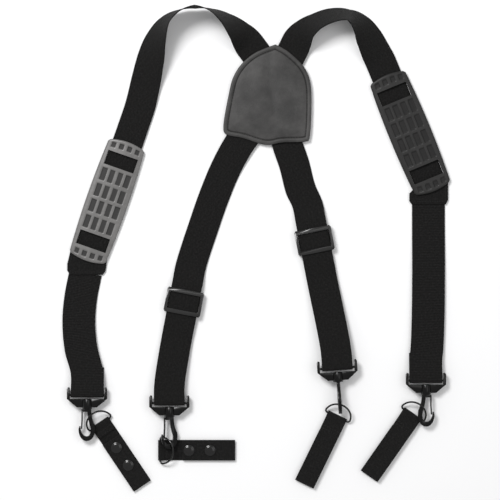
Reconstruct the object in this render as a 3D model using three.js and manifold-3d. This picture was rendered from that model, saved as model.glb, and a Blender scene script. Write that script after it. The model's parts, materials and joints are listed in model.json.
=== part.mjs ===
// X-back suspender harness for a duty belt: two webbing shoulder straps that cross under a leather patch,
// rubber shoulder pads, sliders, and four swivel snap hooks with D-rings and press-stud belt keepers.
// Millimetres, +Z up. The harness lies flat on z = 0 with its front face up, +Y towards the shoulders.
import * as THREE from 'three';
import { mergeVertices } from 'three/addons/utils/BufferGeometryUtils.js';
import Module from 'manifold-3d';

const wasm = await Module();
wasm.setup();

// Driving dimensions
const WEBBING = 38;            // shoulder webbing width
const ELASTIC = 41;            // front elastic width
const STRAP_T = 1.4;           // webbing and elastic thickness
const KEEPER = 25.4;           // belt keeper width
const KEEPER_T = 1.2;          // belt keeper thickness
const KEEPER_LENGTH = 93;      // D-ring bar to the keeper's folded end
const GAP = 0.3;               // clearance between touching pieces
const SHOULDER_Z = 2.5;        // webbing mid height inside the pads and on the patch's back layer
const CROSS_Z = 4.3;           // webbing mid height of the upper strap at the crossing
const SLIDER_Z = 6.2;          // webbing mid height over a slider's centre bar
const RETURN_Z = 1.0;          // mid height of the run that comes back under a rear strap
const BAR_R = 1.5;             // hook frame's webbing bar
const TURN_R = BAR_R + GAP + STRAP_T / 2;   // webbing's mid line round that bar
const BAR_Y = 3.2;             // bar centre above the bottom of the webbing's fold
const WIRE_R = 1.2;            // D-ring wire
const RING_W = 33;             // D-ring width between wire centres
const RING_H = 19;             // D-ring bar to crest, wire centres
const RING_TILT = 30;          // D-ring's slope at rest, bar low and crest high
const RING_BAR_Z = 2.9;        // height of the D-ring's straight bar at rest
const HOOK_T = 4;              // J hook thickness
const FRAME_T = 5;             // hook frame thickness

const COLOURS = {
  webbing: [0x1c1b1a, 0.9, 0],
  elastic: [0x20201f, 0.95, 0],
  leather: [0x3a3a3c, 0.6, 0],
  rubber: [0x55565a, 0.55, 0],
  plastic: [0x17181a, 0.35, 0],
  wire: [0x101114, 0.3, 0.8],
  snap: [0x0d0e10, 0.25, 0.7],
};
const part = new THREE.Group();
part.position.set(0.5, 2, 0);   // puts the origin under the middle of the harness's box
const rad = THREE.MathUtils.degToRad;

function material(slot) {
  const [color, roughness, metalness] = COLOURS[slot];
  return new THREE.MeshStandardMaterial({ color, roughness, metalness });
}

function addMesh(name, geometry, slot, parent = part) {
  const mesh = new THREE.Mesh(geometry, material(slot));
  mesh.name = name;
  parent.add(mesh);
  return mesh;
}

// Booleans
function solid(geometry) {
  const plain = geometry.clone();
  plain.deleteAttribute('normal');
  plain.deleteAttribute('uv');
  const merged = mergeVertices(plain, 1e-4);
  const vertProperties = new Float32Array(merged.attributes.position.array);
  const triVerts = new Uint32Array(merged.index.array);
  return new wasm.Manifold(new wasm.Mesh({ numProp: 3, vertProperties, triVerts }));
}

function geometryOf(manifold) {
  const mesh = manifold.getMesh();
  const geometry = new THREE.BufferGeometry();
  geometry.setAttribute('position', new THREE.BufferAttribute(new Float32Array(mesh.vertProperties), 3));
  geometry.setIndex(new THREE.BufferAttribute(new Uint32Array(mesh.triVerts), 1));
  geometry.computeVertexNormals();
  return geometry;
}

function union(...geometries) {
  return geometries.map(solid).reduce((a, b) => a.add(b));
}

function box(x0, x1, y0, y1, z0, z1) {
  const geometry = new THREE.BoxGeometry(x1 - x0, y1 - y0, z1 - z0);
  return geometry.translate((x0 + x1) / 2, (y0 + y1) / 2, (z0 + z1) / 2);
}

function rodY(r, y0, y1, sides = 20) {
  return new THREE.CylinderGeometry(r, r, y1 - y0, sides).translate(0, (y0 + y1) / 2, 0);
}

function plate(points, z0, z1) {
  const shape = new THREE.Shape(points.map(([x, y]) => new THREE.Vector2(x, y)));
  return new THREE.ExtrudeGeometry(shape, { depth: z1 - z0, bevelEnabled: false }).translate(0, 0, z0);
}

// A strap of constant width. Each station is [x, y, z, roll, lean]: roll in degrees raises the strap's
// right-hand edge, looking along it. Where a station gives lean, the width runs along -X turned by lean, so
// the strap can turn back round a bar; elsewhere it runs square to the path.
function ribbon(stations, width, steps) {
  const middles = stations.map(([x, y, z]) => new THREE.Vector3(x, y, z));
  const centre = new THREE.CatmullRomCurve3(middles, false, 'centripetal');
  const count = stations.length - 1;
  const across = [];
  for (let i = 0; i <= count; i += 1) {
    const t = centre.getTangent(i / count);
    const side = new THREE.Vector3(t.y, -t.x, 0).normalize();
    const [, , , roll, lean] = stations[i];
    if (lean !== undefined) side.set(-Math.cos(rad(lean)), -Math.sin(rad(lean)), 0);
    across.push({ side, roll: rad(roll) });
  }
  const positions = [];
  const last = steps * count;
  for (let k = 0; k <= last; k += 1) {
    const u = k / last;
    const i = Math.min(Math.floor(u * count), count - 1);
    const f = u * count - i;
    const side = across[i].side.clone().lerp(across[i + 1].side, f).normalize();
    const roll = THREE.MathUtils.lerp(across[i].roll, across[i + 1].roll, f);
    const middle = centre.getPoint(u);
    const tangent = centre.getTangent(u);
    const edge = side.multiplyScalar(Math.cos(roll)).add(new THREE.Vector3(0, 0, Math.sin(roll)));
    const normal = new THREE.Vector3().crossVectors(edge, tangent).normalize();
    for (const [a, b] of [[-1, -1], [1, -1], [1, 1], [-1, 1]]) {
      const corner = middle.clone();
      corner.addScaledVector(edge, a * width / 2).addScaledVector(normal, b * STRAP_T / 2);
      positions.push(corner.x, corner.y, corner.z);
    }
  }
  const index = [];
  for (let k = 0; k < last; k += 1) {
    for (let c = 0; c < 4; c += 1) {
      const a = 4 * k + c;
      const b = 4 * k + (c + 1) % 4;
      // Both broad faces are split along the same diagonal, so they stay apart where the strap twists
      if (c === 2) index.push(a, a + 4, b, a + 4, b + 4, b);
      else index.push(a, b + 4, b, a, a + 4, b + 4);
    }
  }
  const end = 4 * last;
  index.push(0, 2, 3, 0, 1, 2, end, end + 2, end + 1, end, end + 3, end + 2);
  const geometry = new THREE.BufferGeometry();
  geometry.setAttribute('position', new THREE.Float32BufferAttribute(positions, 3));
  geometry.setIndex(index);
  const inside = solid(geometry);
  if (inside.volume() < 0) throw new Error('ribbon is inside out');
  return geometryOf(inside);
}

// Pads: a plate with two windows for the strap and a cross bar under each window. Local +Y is towards the
// shoulder.
const PAD = {
  halfLength: 75, arch: 3.5, halfEnd: 23.5, halfMiddle: 26, under: 3.6, top: 7.2,
  windowNear: 43.5, windowFar: 61.5, windowHalf: 19.6, barFar: 54, recess: 1.3,
};

function padOutline() {
  const { halfLength, arch, halfEnd, halfMiddle } = PAD;
  const points = [];
  const sideSteps = 10;
  for (let i = 0; i <= sideSteps; i += 1) {
    const u = i / sideSteps * 2 - 1;
    points.push([halfEnd + (halfMiddle - halfEnd) * (1 - u * u), u * (halfLength - 2)]);
  }
  const endSteps = 8;
  for (let i = 0; i <= endSteps; i += 1) {
    const u = 1 - i / endSteps * 2;
    points.push([u * (halfEnd - 2), halfLength + arch * (1 - u * u)]);
  }
  return [...points, ...points.map(([x, y]) => [-x, -y])];
}

function padGeometry() {
  const { under, top, windowNear, windowFar, windowHalf, barFar, recess } = PAD;
  let pad = solid(plate(padOutline(), 0.2, top));
  pad = pad.subtract(solid(box(-windowHalf, windowHalf, -90, 90, 1.5, under)));
  pad = pad.subtract(solid(box(-40, 40, -90, -windowFar - 3, -1, under)));
  pad = pad.subtract(solid(box(-40, 40, windowFar + 3, 90, -1, under)));
  for (const end of [-1, 1]) {
    const [y0, y1] = [end * windowNear, end * windowFar].sort((a, b) => a - b);
    pad = pad.subtract(solid(box(-windowHalf, windowHalf, y0, y1, 1.5, 20)));
    const [y2, y3] = [end * barFar, end * 90].sort((a, b) => a - b);
    pad = pad.subtract(solid(box(-windowHalf, windowHalf, y2, y3, -1, under)));
  }
  pad = pad.subtract(solid(box(-windowHalf, windowHalf, 1 - windowNear, windowNear - 1, -1, under)));
  const cellRows = 4;
  const pitchY = 2 * (windowNear - 2) / cellRows;
  for (let column = 0; column < 4; column += 1) {
    const x = (column - 1.5) * 10.4;
    for (let row = 0; row < cellRows; row += 1) {
      const y = (row - (cellRows - 1) / 2) * pitchY;
      pad = pad.subtract(solid(box(x - 3.2, x + 3.2, y - 8, y + 8, top - recess, 20)));
    }
    for (const y of [-68.5, 68.5]) {
      pad = pad.subtract(solid(box(x - 2.8, x + 2.8, y - 2.8, y + 2.8, top - recess, 20)));
    }
  }
  return geometryOf(pad);
}

// Each side: the pad's centre and lean, and the strap through it
const LEFT_PAD = { x: -186.5, y: 58.1, lean: -19.3 };
const RIGHT_PAD = { x: 191.7, y: 143.3, lean: 22.4 };

function alongPad(pad, u, z) {
  return [pad.x - u * Math.sin(rad(pad.lean)), pad.y + u * Math.cos(rad(pad.lean)), z];
}

function placed(x, y, z, turn) {
  const group = new THREE.Group();
  group.position.set(x, y, z);
  group.rotation.z = rad(turn);
  part.add(group);
  return group;
}

addMesh('left_shoulder_pad', padGeometry(), 'rubber', placed(LEFT_PAD.x, LEFT_PAD.y, 0, LEFT_PAD.lean));
addMesh('right_shoulder_pad', padGeometry(), 'rubber', placed(RIGHT_PAD.x, RIGHT_PAD.y, 0, RIGHT_PAD.lean));

// Rear sliders and hooks. A rear strap runs over the slider's centre bar, on to the hook frame's bar, round
// it and back to a loop on the slider's centre bar.
const LEFT_SLIDER = { x: -90.6, y: -67.3, lean: -11 };
const RIGHT_SLIDER = { x: 72.3, y: 9.4, lean: 11 };
const HOOKS = {
  front_left: { x: -211, y: -186.3, z: 7.9, lean: 0, turn: 180 },
  rear_left: { x: -108.5, y: -196.3, z: 8.2, lean: 0, turn: 196 },
  rear_right: { x: 100.6, y: -152.4, z: 11.4, lean: 4, turn: 90 },
  front_right: { x: 211, y: -168.3, z: 7.9, lean: 0, turn: 0 },
};

function nearHook(hook, dy, z) {
  const lean = rad(hook.lean);
  return [hook.x - (dy + BAR_Y) * Math.sin(lean), hook.y + (dy + BAR_Y) * Math.cos(lean), z, 0, hook.lean];
}

function turnRoundBar(hook) {
  const bend = TURN_R * Math.SQRT1_2;
  return [
    nearHook(hook, 0, hook.z + TURN_R),
    nearHook(hook, -bend, hook.z + bend),
    nearHook(hook, -TURN_R, hook.z),
    nearHook(hook, -bend, hook.z - bend),
    nearHook(hook, 0, hook.z - TURN_R),
  ];
}

function alongSlider(slider, s, z) {
  const lean = rad(slider.lean);
  return [slider.x + s * Math.sin(lean), slider.y - s * Math.cos(lean), z, 0, slider.lean];
}

const LOOP_MID_Z = 2.6;
const LOOP_R = 1.6;
const LOOP_END = -9;

function rearRun(slider, hook) {
  const outward = [
    alongSlider(slider, -46, 2.2),
    alongSlider(slider, -24, SLIDER_Z),
    alongSlider(slider, 0, SLIDER_Z),
    alongSlider(slider, 24, SLIDER_Z),
    alongSlider(slider, 48, 4.8),
  ];
  const onto = [nearHook(hook, 22, hook.z + TURN_R - 1.5)];
  const low = Math.max(hook.z - TURN_R - 2.2, 1.6);
  const back = [nearHook(hook, 22, low), alongSlider(slider, 50, RETURN_Z + 0.6)];
  const bend = LOOP_R * Math.SQRT1_2;
  const loop = [
    alongSlider(slider, 20, RETURN_Z),
    alongSlider(slider, LOOP_END, LOOP_MID_Z - LOOP_R),
    alongSlider(slider, LOOP_END - bend, LOOP_MID_Z - bend),
    alongSlider(slider, LOOP_END - LOOP_R, LOOP_MID_Z),
    alongSlider(slider, LOOP_END - bend, LOOP_MID_Z + bend),
    alongSlider(slider, LOOP_END, LOOP_MID_Z + LOOP_R),
    alongSlider(slider, 10, LOOP_MID_Z + LOOP_R),
    alongSlider(slider, 22, RETURN_Z + 1.7),
    alongSlider(slider, 32, RETURN_Z + 1.6),
  ];
  return { outward, rest: [...onto, ...turnRoundBar(hook), ...back, ...loop] };
}

function sliderGeometry() {
  const half = 23;
  const side = 19.7;
  const low = 2.05;
  const high = SLIDER_Z + STRAP_T / 2 + GAP;
  return geometryOf(union(
    box(-half, -side, -14, 14, 0.4, high + 2),
    box(side, half, -14, 14, 0.4, high + 2),
    box(-half + 1, half - 1, 10.5, 15.5, high, high + 2),
    box(-half + 1, half - 1, -15.5, -10.5, high, high + 2),
    box(-half + 1, half - 1, -2.4, 2.4, low, low + 1.2),
  ));
}

for (const [name, at] of [['left_rear_slider', LEFT_SLIDER], ['right_rear_slider', RIGHT_SLIDER]]) {
  addMesh(name, sliderGeometry(), 'plastic', placed(at.x, at.y, 0, at.lean));
}

// Shoulder webbing, from the front join over the shoulder, under the patch and down to the opposite hook.
const leftRear = rearRun(LEFT_SLIDER, HOOKS.rear_left);
const rightRear = rearRun(RIGHT_SLIDER, HOOKS.rear_right);

function throughPad(pad, start) {
  const low = 0.9;
  return [[start, low], [-70, low], [-55, SHOULDER_Z], [0, SHOULDER_Z], [60, SHOULDER_Z], [98, SHOULDER_Z]]
    .map(([u, z]) => [...alongPad(pad, u, z), 0]);
}

const leftStrapPath = [
  ...throughPad(LEFT_PAD, -86),
  [-145, 178, 2.2, 0], [-138, 208, 3.5, 8], [-131, 238, 11, 24], [-124.5, 261, 17, 44], [-113, 282, 23, 66],
  [-96, 293.5, 25, 80], [-76, 298, 25.5, 88], [-56, 294.5, 24, 79], [-38, 284.5, 20, 62],
  [-21, 269, 12.5, 36],
  [-9, 254, 2.9, 0], [2, 239, 2.5, 0], [13, 222, SHOULDER_Z, 0], [24, 191, SHOULDER_Z, 0],
  [33.5, 156, SHOULDER_Z, 0],
  [38.5, 130, 2.7, 0], [47.3, 103.8, 1.2, 0], [55, 74, 1.2, 0],
  ...rightRear.outward, ...rightRear.rest,
];
const rightStrapPath = [
  ...throughPad(RIGHT_PAD, -80),
  [149.1, 244, 4.2, -8], [139.5, 263, 9, -24], [128.4, 279.5, 16, -46], [114, 288.6, 20, -62],
  [93.8, 288.5, 18.5, -56], [74, 281, 17, -51], [60, 271.5, 13, -38], [51.5, 260, 6.6, -14], [47.5, 251, 4.4, -2],
  [42, 240, CROSS_Z, 0], [30.6, 216.3, CROSS_Z, 0], [11.9, 181.3, CROSS_Z, 0], [-9, 148, CROSS_Z, 0],
  [-23.5, 127, 3.9, 0], [-39.1, 97.9, 1.4, 0], [-53.5, 62.9, 1.2, 0], [-65, 30, 1.3, 0],
  ...leftRear.outward, ...leftRear.rest,
];
const STRAP_STEPS = 4;
addMesh('left_shoulder_strap', ribbon(leftStrapPath, WEBBING, STRAP_STEPS), 'webbing');
addMesh('right_shoulder_strap', ribbon(rightStrapPath, WEBBING, STRAP_STEPS), 'webbing');

// Front elastics, with their turned-back ends, and the sewn tabs that join them to the webbing
const ELASTIC_TAIL = 34;

function elasticPath(hook, above) {
  return [
    ...above,
    nearHook(hook, 26, hook.z - 1), ...turnRoundBar(hook),
    nearHook(hook, 14, 3.2), nearHook(hook, ELASTIC_TAIL, 1.5),
  ];
}

const leftElastic = elasticPath(HOOKS.front_left, [
  [-213.5, -31, 0.9, 0], [-219.5, -62, 1.6, 0], [-221.8, -92, 3.2, 0], [-219, -125, 4.6, 0],
]);
const rightElastic = elasticPath(HOOKS.front_right, [
  [214.8, 60, 0.9, 0], [214.8, 20, 1.5, 0], [214.8, -30, 3, 0], [214, -90, 4.2, 0], [212.6, -125, 4.8, 0],
]);
addMesh('left_front_elastic', ribbon(leftElastic, ELASTIC, 3), 'elastic');
addMesh('right_front_elastic', ribbon(rightElastic, ELASTIC, 3), 'elastic');

const TAB_Z = 2;
const leftTab = [
  [-230.8, 2.7], [-236.3, -20], [-236.3, -28], [-233, -33.5], [-192, -33.5], [-188.5, -29], [-186.4, -12.9],
];
const rightTab = [
  [195, 72.3], [190.8, 68], [190.8, 58.5], [193.8, 54.5], [236.6, 54.5], [239.2, 60], [239.2, 90.2],
];
addMesh('left_join_tab', plate(leftTab, TAB_Z, TAB_Z + 1.2), 'webbing');
addMesh('right_join_tab', plate(rightTab, TAB_Z, TAB_Z + 1.2), 'webbing');

// Leather patch: two layers with the crossing between them
const patchCurve = new THREE.SplineCurve([
  [23.6, 253.8], [-1, 243.8], [-17.8, 230.3], [-29, 213], [-35, 190], [-41.3, 153],
  [-37.3, 141.6], [-17.8, 137.1],
  [11.3, 128.8], [32.5, 131.5], [60, 132.8], [66.6, 140], [68.6, 185], [66, 211], [57, 228.5], [39.3, 244.9],
  [23.6, 253.8],
].map(([x, y]) => new THREE.Vector2(x, y)));
const patchOutline = patchCurve.getPoints(48).slice(0, -1).map((p) => [p.x, p.y]);
const PATCH_FRONT_Z = CROSS_Z + STRAP_T / 2 + GAP;
addMesh('patch_front', plate(patchOutline, PATCH_FRONT_Z, PATCH_FRONT_Z + 1.8), 'leather');
addMesh('patch_back', plate(patchOutline, 0.1, SHOULDER_Z - STRAP_T / 2 - GAP), 'leather');

// Hook frame: webbing bar, two horns, and a body with the swivel's barrel. Local +Y runs up the strap.
const BARREL = { r: 6.3, top: -1.8, bottom: -14, bore: 3.35, headBore: 4.9, headFloor: -6 };

function frameGeometry() {
  const outline = [
    [-25, 11], [-23.5, 13], [-21.4, 12], [-21.4, -1.8], [21.4, -1.8], [21.4, 12], [23.5, 13], [25, 11],
    [25, -1.5], [12.5, -12], [-12.5, -12], [-25, -1.5],
  ];
  const bar = new THREE.CylinderGeometry(BAR_R, BAR_R, 46, 12).rotateZ(Math.PI / 2).translate(0, BAR_Y, 0);
  const barrel = rodY(BARREL.r, BARREL.bottom, BARREL.top);
  const body = union(plate(outline, -FRAME_T / 2, FRAME_T / 2), barrel, bar);
  const bore = union(rodY(BARREL.bore, -20, 0.5), rodY(BARREL.headBore, BARREL.headFloor, -1));
  return geometryOf(body.subtract(bore));
}

// J hook on its swivel shank. The gate closes its right-hand side.
function hookGeometry() {
  const outline = new THREE.Shape();
  outline.moveTo(5, -14.4);
  outline.lineTo(-5, -14.4);
  outline.quadraticCurveTo(-5.5, -26, -9.6, -34);
  outline.bezierCurveTo(-11.5, -46, -7, -54, 0.5, -54);
  outline.bezierCurveTo(7, -54, 10.8, -46, 10.6, -39);
  outline.lineTo(9.6, -35.5);
  outline.lineTo(8.2, -36);
  outline.lineTo(8, -40);
  outline.bezierCurveTo(6.8, -45, 4, -48.2, 0.5, -48.2);
  outline.bezierCurveTo(-3.4, -48.2, -5.4, -43, -4.4, -37);
  outline.quadraticCurveTo(-1.2, -28, -0.4, -17.6);
  outline.lineTo(5, -17.6);
  const j = new THREE.ExtrudeGeometry(outline, { depth: HOOK_T, bevelEnabled: false, curveSegments: 7 });
  j.translate(0, 0, -HOOK_T / 2);
  return geometryOf(union(j, rodY(3, -14.6, -3.5, 16), rodY(4.5, -5.6, -2.6, 16)));
}

function gateGeometry() {
  const outline = [[5.35, -14.6], [5.35, -27], [6, -39], [7.6, -39], [6.95, -27], [6.95, -14.6]];
  return plate(outline, -HOOK_T / 2, HOOK_T / 2);
}

// A closed ring of wire along a closed curve
function closedTube(path, radius, steps, sides) {
  const frames = path.computeFrenetFrames(steps, true);
  const positions = [];
  const index = [];
  for (let k = 0; k < steps; k += 1) {
    const middle = path.getPointAt(k / steps);
    for (let s = 0; s < sides; s += 1) {
      const a = 2 * Math.PI * s / sides;
      const point = middle.clone();
      point.addScaledVector(frames.normals[k], radius * Math.cos(a));
      point.addScaledVector(frames.binormals[k], radius * Math.sin(a));
      positions.push(point.x, point.y, point.z);
      const next = (k + 1) % steps;
      const [p, q] = [k * sides + s, k * sides + (s + 1) % sides];
      const [r, t] = [next * sides + s, next * sides + (s + 1) % sides];
      index.push(p, q, t, p, t, r);
    }
  }
  const geometry = new THREE.BufferGeometry();
  geometry.setAttribute('position', new THREE.Float32BufferAttribute(positions, 3));
  geometry.setIndex(index);
  return geometryOf(solid(geometry));
}

// D-ring in its own plane: the straight bar along X through the origin, the arc towards +Y
function ringGeometry() {
  const half = RING_W / 2;
  const corner = 2;
  const points = [-1, -0.6, 0, 0.6, 1].map((u) => new THREE.Vector3(u * (half - corner), 0, 0));
  const arcSteps = 12;
  for (let i = 0; i <= arcSteps; i += 1) {
    const a = Math.PI * i / arcSteps;
    points.push(new THREE.Vector3(half * Math.cos(a), corner + (RING_H - corner) * Math.sin(a), 0));
  }
  return closedTube(new THREE.CatmullRomCurve3(points, true, 'centripetal'), WIRE_R, 40, 8);
}

// Belt keeper: local +X runs from the D-ring's bar to the folded end, +Z is up. A front-up keeper lies on
// its base strap with the snaps on top; a front-down one lies on its snap caps.
const ROLL_X = KEEPER_LENGTH - BAR_R;
const LOOP_MID = WIRE_R + GAP + 0.2 + KEEPER_T / 2;
const SNAPS_X = [35.7, 62];

function thickPath(points, t) {
  const left = [];
  const right = [];
  points.forEach(([x, y], i) => {
    const [ax, ay] = points[Math.max(i - 1, 0)];
    const [bx, by] = points[Math.min(i + 1, points.length - 1)];
    const length = Math.hypot(bx - ax, by - ay);
    const [nx, ny] = [-(by - ay) / length * t / 2, (bx - ax) / length * t / 2];
    left.push([x + nx, y + ny]);
    right.push([x - nx, y - ny]);
  });
  return [...left, ...right.reverse()];
}

function across(profile, width) {
  return plate(profile, -width / 2, width / 2).rotateX(Math.PI / 2);
}

function keeperHeights(frontUp) {
  return frontUp
    ? { base: 0.6, tail: 2.15, roll: 1.5, flap: 3.9, stud: [1.7, 3], cap: [4.8, 7] }
    : { base: 6.1, tail: 4.7, roll: 5.5, flap: 3.1, stud: [4, 5.2], cap: [2.2, 0] };
}

function keeperGeometry(frontUp) {
  const { base, tail, roll } = keeperHeights(frontUp);
  const s = frontUp ? 1 : -1;
  const ring = [];
  for (let a = 60; a <= 270; a += 30) {
    ring.push([LOOP_MID * Math.cos(rad(a)), RING_BAR_Z + s * LOOP_MID * Math.sin(rad(a))]);
  }
  const start = frontUp ? [[15, tail], [6, tail + 0.1]] : [[20, tail], [14, tail - 0.3], [8, tail - 2]];
  const bend = frontUp ? [] : [[6, base - 0.9], [14, base]];
  const strap = across(thickPath([...start, ...ring, ...bend, [ROLL_X, base]], KEEPER_T), KEEPER);
  const folded = new THREE.CylinderGeometry(BAR_R, BAR_R, KEEPER, 12).translate(ROLL_X, 0, roll);
  return geometryOf(union(strap, folded));
}

function flapGeometry(frontUp, free) {
  const { flap } = keeperHeights(frontUp);
  const half = KEEPER / 2;
  const end = ROLL_X + 1;
  const corner = 2;
  const outline = [
    [free, -half + corner], [free + corner, -half], [end, -half],
    [end, half], [free + corner, half], [free, half - corner],
  ];
  return plate(outline, flap - KEEPER_T / 2, flap + KEEPER_T / 2);
}

function capGeometry([foot, crown], r) {
  const rise = crown - foot;
  const profile = [[0, 0], [r, 0], [r, 0.3], [r - 0.8, 0.7], [r - 3, 0.92], [0, 1]];
  const points = profile.map(([x, h]) => new THREE.Vector2(x, foot + h * rise));
  const lathe = new THREE.LatheGeometry(rise > 0 ? points : points.reverse(), 16);
  return lathe.rotateX(Math.PI / 2);
}

// One corner: hook frame, swivelling J hook with its gate, D-ring and keeper
const CORNERS = {
  front_left: { bar: [-194.6, -219.6], crest: 123.9, keeper: -56.1, frontUp: true, free: 24 },
  rear_left: { bar: [-120, -252.5], crest: 0, keeper: 0, frontUp: true, free: 28 },
  rear_right: { bar: [100.5, -210.8], crest: 64, keeper: -116, frontUp: false, free: 24 },
  front_right: { bar: [194, -208.3], crest: 55, keeper: -125, frontUp: false, free: 24 },
};

for (const [corner, hook] of Object.entries(HOOKS)) {
  const { bar, crest, keeper, frontUp, free } = CORNERS[corner];
  const frame = placed(hook.x, hook.y, hook.z, hook.lean);
  addMesh(`${corner}_hook_frame`, frameGeometry(), 'plastic', frame);
  const swivel = new THREE.Group();
  swivel.rotation.y = rad(hook.turn);
  frame.add(swivel);
  addMesh(`${corner}_hook`, hookGeometry(), 'plastic', swivel);
  addMesh(`${corner}_gate`, gateGeometry(), 'plastic', swivel);

  const ring = placed(bar[0], bar[1], RING_BAR_Z, crest - 90);
  const tilted = new THREE.Group();
  tilted.rotation.x = rad(RING_TILT);
  ring.add(tilted);
  addMesh(`${corner}_d_ring`, ringGeometry(), 'wire', tilted);

  const strap = placed(bar[0], bar[1], 0, keeper);
  const heights = keeperHeights(frontUp);
  addMesh(`${corner}_keeper_strap`, keeperGeometry(frontUp), 'webbing', strap);
  addMesh(`${corner}_keeper_flap`, flapGeometry(frontUp, free), 'webbing', strap);
  SNAPS_X.forEach((x, i) => {
    const [low, high] = heights.stud;
    const stud = new THREE.CylinderGeometry(4.6, 4.6, high - low, 14).rotateX(Math.PI / 2);
    addMesh(`${corner}_snap_stud_${i + 1}`, stud.translate(x, 0, (low + high) / 2), 'snap', strap);
    addMesh(`${corner}_snap_cap_${i + 1}`, capGeometry(heights.cap, 7).translate(x, 0, 0), 'snap', strap);
  });
}

export default part;
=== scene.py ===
import json
import math

import bpy
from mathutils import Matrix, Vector, noise


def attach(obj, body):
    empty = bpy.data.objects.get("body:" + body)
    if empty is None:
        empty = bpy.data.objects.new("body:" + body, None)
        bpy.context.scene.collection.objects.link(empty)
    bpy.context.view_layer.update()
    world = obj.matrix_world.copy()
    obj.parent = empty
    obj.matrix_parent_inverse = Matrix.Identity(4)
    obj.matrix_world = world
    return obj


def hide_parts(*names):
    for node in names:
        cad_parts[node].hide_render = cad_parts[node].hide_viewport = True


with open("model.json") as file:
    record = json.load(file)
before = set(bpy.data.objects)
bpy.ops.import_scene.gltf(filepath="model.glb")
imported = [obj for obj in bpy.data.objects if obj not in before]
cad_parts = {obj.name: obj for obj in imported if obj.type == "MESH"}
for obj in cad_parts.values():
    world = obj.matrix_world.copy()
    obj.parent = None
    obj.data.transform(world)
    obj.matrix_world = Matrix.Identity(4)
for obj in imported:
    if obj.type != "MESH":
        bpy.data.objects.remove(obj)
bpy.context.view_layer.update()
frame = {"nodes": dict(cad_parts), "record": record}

# Shared sizes, in millimetres. The part's own group is moved by OFFSET, so every position here is too.
OFFSET = Vector((0.5, 2.0, 0.0))
WEBBING = 38.0
ELASTIC = 41.0
STRAP_T = 1.4
KEEPER = 25.4
KEEPER_T = 1.2
GAP = 0.3
SHOULDER_Z = 2.5
CROSS_Z = 4.3
SLIDER_Z = 6.2
RETURN_Z = 1.0
BAR_R = 1.5
TURN_R = BAR_R + GAP + STRAP_T / 2
BAR_Y = 3.2
RING_BAR_Z = 2.9
ROLL_X = 91.5
LOOP_MID = 2.3
SNAPS_X = (35.7, 62.0)
LOOP_MID_Z = 2.6
LOOP_R = 1.6
LOOP_END = -9.0
ELASTIC_TAIL = 34.0
CORNERS = ("front_left", "rear_left", "rear_right", "front_right")


# ---------------------------------------------------------------- materials
class Nodes:
    """A small helper that adds and links shader nodes."""

    def __init__(self, name, colour, roughness, metallic=0.0, specular=0.4, coat=0.0, sheen=0.0):
        self.material = bpy.data.materials.new(name)
        self.material.use_nodes = True
        self.tree = self.material.node_tree
        self.shader = self.tree.nodes["Principled BSDF"]
        self.shader.inputs["Base Color"].default_value = (*colour, 1)
        self.shader.inputs["Roughness"].default_value = roughness
        self.shader.inputs["Metallic"].default_value = metallic
        self.shader.inputs["Specular IOR Level"].default_value = specular
        self.shader.inputs["Coat Weight"].default_value = coat
        self.shader.inputs["Coat Roughness"].default_value = 0.15
        self.shader.inputs["Sheen Weight"].default_value = sheen
        self.shader.inputs["Sheen Roughness"].default_value = 0.5

    def add(self, kind, **values):
        node = self.tree.nodes.new(kind)
        for key, value in values.items():
            if key in node.inputs.keys():
                node.inputs[key].default_value = value
            else:
                setattr(node, key, value)
        return node

    def link(self, source, target):
        self.tree.links.new(source, target)

    def maths(self, operation, a, b):
        node = self.add("ShaderNodeMath", operation=operation)
        for socket, value in zip(node.inputs, (a, b)):
            if isinstance(value, (int, float)):
                socket.default_value = value
            else:
                self.link(value, socket)
        return node.outputs[0]

    def ramp(self, source, stops):
        node = self.add("ShaderNodeValToRGB")
        ramp = node.color_ramp
        while len(ramp.elements) < len(stops):
            ramp.elements.new(0.5)
        for element, (place, colour) in zip(ramp.elements, stops):
            element.position = place
            element.color = (*colour, 1)
        self.link(source, node.inputs["Fac"])
        return node.outputs["Color"]

    def colour(self, socket):
        self.link(socket, self.shader.inputs["Base Color"])

    def rough(self, source, low, high):
        node = self.add("ShaderNodeMapRange")
        node.inputs["To Min"].default_value = low
        node.inputs["To Max"].default_value = high
        self.link(source, node.inputs["Value"])
        self.link(node.outputs[0], self.shader.inputs["Roughness"])

    def bump(self, height, strength, distance):
        node = self.add("ShaderNodeBump", Strength=strength, Distance=distance)
        self.link(height, node.inputs["Height"])
        self.link(node.outputs[0], self.shader.inputs["Normal"])


def grey(value):
    return (value * 1.03, value, value * 0.98)


def woven(name, level, pitch, across_pitch, strength):
    """Woven tape, darker in the weave's grooves and lighter on its raised threads as painted shade and
    painted highlight, with random lint tone. The strap map's U runs along the tape and V across it, in
    millimetres.
    """
    n = Nodes(name, grey(level), 0.85, specular=0.1, sheen=0.04)
    uv = n.add("ShaderNodeUVMap", uv_map="strap").outputs[0]
    parts = n.add("ShaderNodeSeparateXYZ")
    n.link(uv, parts.inputs[0])
    along, across = parts.outputs[0], parts.outputs[1]
    weft = n.maths("SINE", n.maths("MULTIPLY", along, 2 * math.pi / pitch), 0)
    warp = n.maths("SINE", n.maths("MULTIPLY", across, 2 * math.pi / across_pitch), 0)
    cloth = n.maths("MULTIPLY", weft, warp)
    height = n.maths("ADD", n.maths("MULTIPLY", weft, 0.6), n.maths("MULTIPLY", cloth, 0.6))
    lint = n.add("ShaderNodeTexNoise", Scale=0.45, Detail=6.0, Roughness=0.7)
    n.link(uv, lint.inputs["Vector"])
    # The weave's height goes into the colour: painted shade in the grooves and painted highlight on the
    # raised threads. The lint noise is random tone.
    groove_shade_and_lint = n.maths("ADD", n.maths("MULTIPLY", height, 0.16), lint.outputs[0])
    n.colour(n.ramp(groove_shade_and_lint, [(0.25, grey(level * 0.3)), (0.52, grey(level)), (0.82, grey(level * 2.6))]))
    n.rough(lint.outputs[0], 0.75, 0.95)
    n.bump(height, strength, 0.0004)
    return n.material


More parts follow.
